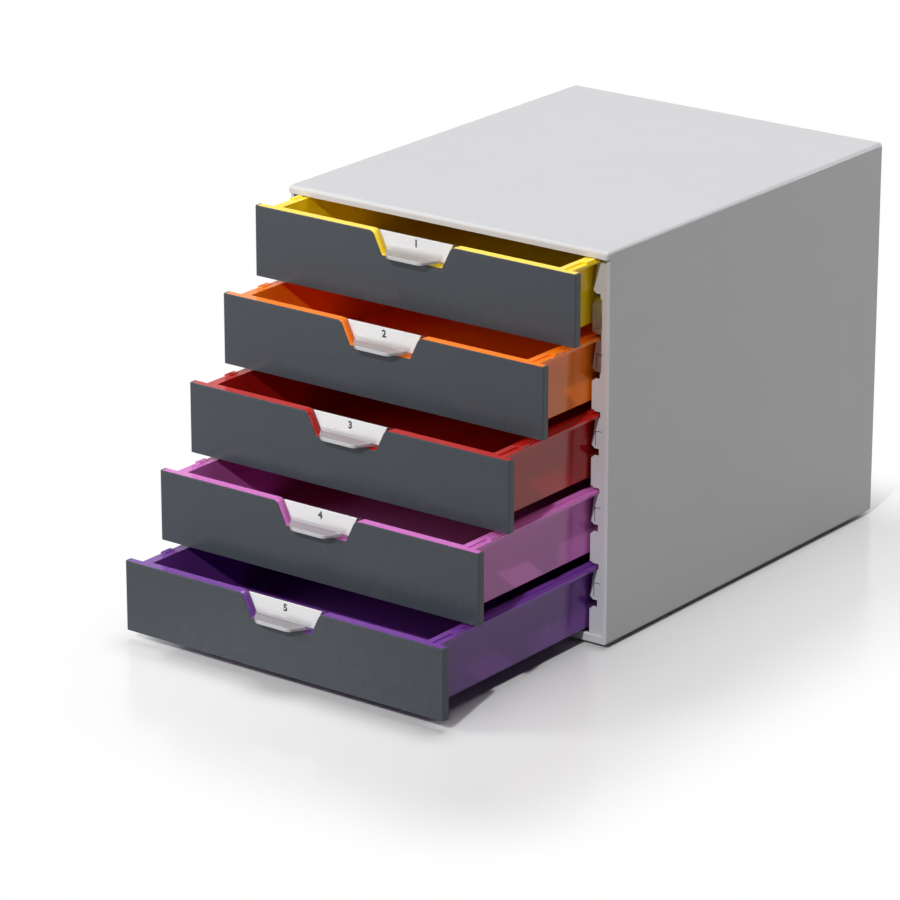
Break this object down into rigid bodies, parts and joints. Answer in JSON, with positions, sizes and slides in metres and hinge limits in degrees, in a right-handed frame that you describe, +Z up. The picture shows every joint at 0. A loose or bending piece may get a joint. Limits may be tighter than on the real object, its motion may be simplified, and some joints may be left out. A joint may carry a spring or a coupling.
{
  "type": "desktop drawer organizer",
  "caption": "Desktop drawer organizer: light grey plastic housing with staggered open drawers, dark fronts with label windows and pull tabs, coloured trays.",
  "frame": {"origin": "centre of the bounding box's bottom face with the drawers open as in the picture, on the surface under the feet", "axes": "+X to the right seen from the front, +Y from the drawer fronts to the rear panel, +Z up"},
  "size_m": [0.28, 0.5476, 0.292],
  "materials": {
    "shell_grey": "fine satin, light grey",
    "rail_grey": "fine satin, light grey",
    "cover_grey": "satin, dark blue grey",
    "tray_yellow": "gloss, yellow",
    "tray_orange": "gloss, orange",
    "tray_red": "gloss, red",
    "tray_pink": "gloss, pink",
    "tray_purple": "gloss, purple",
    "clear_plastic": "clear, frosted on the pull tab",
    "label_paper": "white paper card",
    "foot_rubber": "matte, dark"
  },
  "bodies": {
    "housing": {"housing_shell": "shell_grey", "rear_panel": "shell_grey", "base_panel": "shell_grey", "left_rail_panel": "rail_grey", "right_rail_panel": "rail_grey", "front_left_foot": "foot_rubber", "front_right_foot": "foot_rubber", "rear_left_foot": "foot_rubber", "rear_right_foot": "foot_rubber"},
    "drawer_1": {"drawer_1_tray": "tray_yellow", "drawer_1_cover": "cover_grey", "drawer_1_holder": "clear_plastic", "drawer_1_card": "label_paper"},
    "drawer_2": {"drawer_2_tray": "tray_orange", "drawer_2_cover": "cover_grey", "drawer_2_holder": "clear_plastic", "drawer_2_card": "label_paper"},
    "drawer_3": {"drawer_3_tray": "tray_red", "drawer_3_cover": "cover_grey", "drawer_3_holder": "clear_plastic", "drawer_3_card": "label_paper"},
    "drawer_4": {"drawer_4_tray": "tray_pink", "drawer_4_cover": "cover_grey", "drawer_4_holder": "clear_plastic", "drawer_4_card": "label_paper"},
    "drawer_5": {"drawer_5_tray": "tray_purple", "drawer_5_cover": "cover_grey", "drawer_5_holder": "clear_plastic", "drawer_5_card": "label_paper"}
  },
  "joints": [
    {"name": "drawer_1_slide", "type": "slide", "parent": "housing", "child": "drawer_1", "axis": [0, -1, 0], "range_m": [-0.0336, 0.2064]},
    {"name": "drawer_2_slide", "type": "slide", "parent": "housing", "child": "drawer_2", "axis": [0, -1, 0], "range_m": [-0.0703, 0.1697]},
    {"name": "drawer_3_slide", "type": "slide", "parent": "housing", "child": "drawer_3", "axis": [0, -1, 0], "range_m": [-0.1088, 0.1312]},
    {"name": "drawer_4_slide", "type": "slide", "parent": "housing", "child": "drawer_4", "axis": [0, -1, 0], "range_m": [-0.1427, 0.0973]},
    {"name": "drawer_5_slide", "type": "slide", "parent": "housing", "child": "drawer_5", "axis": [0, -1, 0], "range_m": [-0.182, 0.058]}
  ]
}
